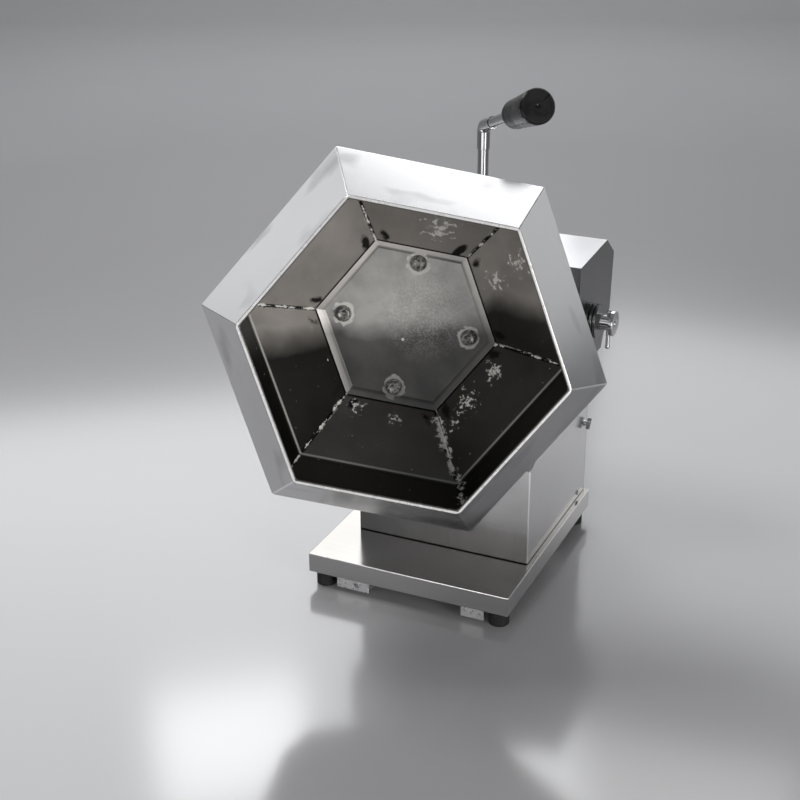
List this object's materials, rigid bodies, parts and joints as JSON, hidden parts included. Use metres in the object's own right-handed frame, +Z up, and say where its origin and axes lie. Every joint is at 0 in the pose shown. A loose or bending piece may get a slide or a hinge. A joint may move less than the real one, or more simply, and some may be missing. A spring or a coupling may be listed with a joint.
{
  "type": "tilting drum mixer",
  "caption": "Bench-top tilting drum mixer: a six-sided sheet steel drum on a geared shaft, a head that tilts by a cranked handle, and a column on a base tray.",
  "frame": {"origin": "centre of the machine's bounding box at the bench surface under its feet", "axes": "+Z up, +X to the machine's right, the drum mouth looks to -Y and a little to +X"},
  "size_m": [0.3652, 0.4803, 0.5374],
  "materials": {
    "bearing_steel": "ground bearing steel",
    "black_plastic": "moulded black grip",
    "bronze": "sintered bronze",
    "gear_steel": "oiled gear steel",
    "grey_plastic": "moulded grey plastic",
    "motor_paint": "dark motor enamel",
    "polished": "polished turned steel",
    "rubber": "black rubber",
    "stainless": "brushed stainless sheet",
    "worn_stainless": "stained and worn inside of the drum",
    "zinc": "bright zinc plated sheet"
  },
  "bodies": {
    "stand": {"base_tray": "stainless", "rubber_feet": "rubber", "foot_screws": "zinc", "foot_clip_left": "zinc", "foot_clip_right": "zinc", "column_shell": "stainless", "rear_cover": "stainless", "column_screws": "stainless", "switch_body": "stainless", "cable_gland": "grey_plastic", "control_box": "grey_plastic", "pivot_cheek_left": "stainless", "pivot_cheek_right": "stainless", "cheek_bolts": "zinc", "pivot_pin_left": "polished", "pivot_pin_right": "polished", "pin_keeper": "zinc", "clamp_washers": "polished"},
    "head": {"hood": "stainless", "hood_screws": "stainless", "tilt_chassis": "stainless", "side_plate_left": "stainless", "side_plate_right": "stainless", "pivot_bushes": "bronze", "pivot_boss": "polished", "bearing_housing": "stainless", "housing_screws": "stainless", "shaft_bearings": "bearing_steel", "motor_plate": "zinc", "motor_posts": "zinc", "gearbox": "motor_paint", "motor_body": "motor_paint", "handle_socket": "polished", "handle_rod": "polished", "handle_elbow": "polished", "handle_arm": "polished", "handle_grip": "black_plastic"},
    "drum": {"drum_shaft": "stainless", "drum_hub": "stainless", "hub_bolts": "stainless", "back_plate": "worn_stainless", "wall_panel_1": "worn_stainless", "wall_panel_2": "worn_stainless", "wall_panel_3": "worn_stainless", "wall_panel_4": "worn_stainless", "wall_panel_5": "worn_stainless", "wall_panel_6": "worn_stainless", "front_panel_1": "stainless", "front_panel_2": "stainless", "front_panel_3": "stainless", "front_panel_4": "stainless", "front_panel_5": "stainless", "front_panel_6": "stainless", "mouth_rim": "polished", "drive_gear": "gear_steel"},
    "pinion": {"drive_pinion": "gear_steel"},
    "clamp": {"clamp_sleeve": "polished", "clamp_cap": "polished"},
    "tommy": {"tommy_bar": "polished"},
    "knob": {"switch_knob": "polished"}
  },
  "joints": [
    {"name": "head_tilt", "type": "hinge", "parent": "stand", "child": "head", "pos_m": [0, 0.146, 0.2605], "axis": [-1, 0, 0], "range_deg": [-10, 30]},
    {"name": "drum_spin", "type": "hinge", "parent": "head", "child": "drum", "pos_m": [0, -0.114, 0.309], "axis": [0.3957, -0.8977, 0.1937], "continuous": true},
    {"name": "pinion_spin", "type": "hinge", "parent": "head", "child": "pinion", "pos_m": [0.0549, -0.0898, 0.309], "axis": [0.3957, -0.8977, 0.1937], "continuous": true},
    {"name": "clamp_turn", "type": "hinge", "parent": "stand", "child": "clamp", "pos_m": [0.12, 0.146, 0.2605], "axis": [1, 0, 0], "range_deg": [0, 180]},
    {"name": "tommy_slide", "type": "slide", "parent": "clamp", "child": "tommy", "axis": [0, 0, 1], "range_m": [0, 0.015]},
    {"name": "switch_turn", "type": "hinge", "parent": "stand", "child": "knob", "pos_m": [0.103, 0.1628, 0.128], "axis": [1, 0, 0], "range_deg": [0, 90]}
  ],
  "couplings": [
    {"joint": "pinion_spin", "follows": "drum_spin", "ratio": -1.5}
  ]
}
